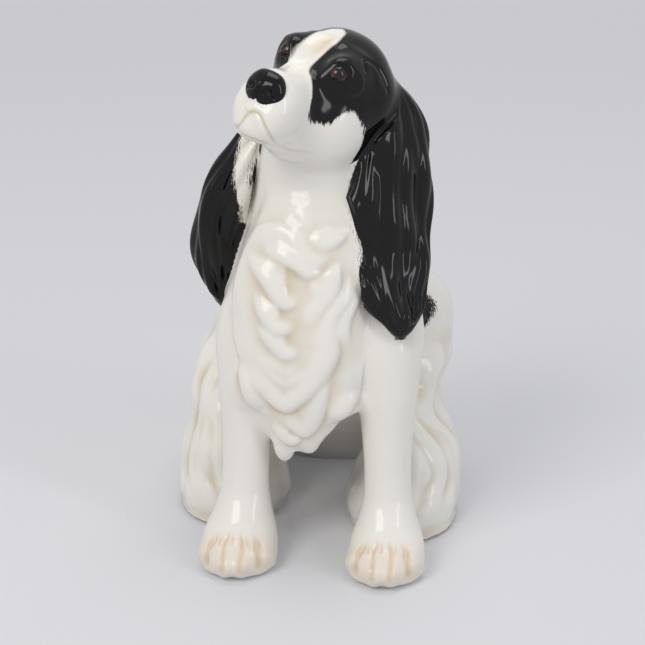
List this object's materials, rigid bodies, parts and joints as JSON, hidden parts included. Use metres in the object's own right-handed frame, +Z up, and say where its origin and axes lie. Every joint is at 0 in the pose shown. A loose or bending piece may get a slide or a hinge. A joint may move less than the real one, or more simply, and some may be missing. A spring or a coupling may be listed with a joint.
{
  "type": "seated spaniel figure",
  "caption": "Seated spaniel ornament in black and white glazed earthenware, head turned aside and raised, with long wavy ears, a deep chest ruff and feathered haunches.",
  "frame": {"origin": "centre of the whole figure's footprint box on the standing surface", "axes": "+Z up, the body faces -Y, +X to the dog's own left; the head is turned towards its own right"},
  "size_m": [0.1668, 0.2264, 0.289],
  "materials": {
    "white_glaze": "gloss, warm white glaze over an ivory earthenware body",
    "black_glaze": "gloss, black painted decoration under clear glaze, with a white blaze and muzzle on the head"
  },
  "bodies": {
    "root": {"trunk": "white_glaze", "head": "black_glaze", "left_ear": "black_glaze", "right_ear": "black_glaze", "chest_ruff": "white_glaze", "left_foreleg": "white_glaze", "right_foreleg": "white_glaze", "left_haunch": "white_glaze", "right_haunch": "white_glaze", "tail": "white_glaze"}
  },
  "joints": []
}
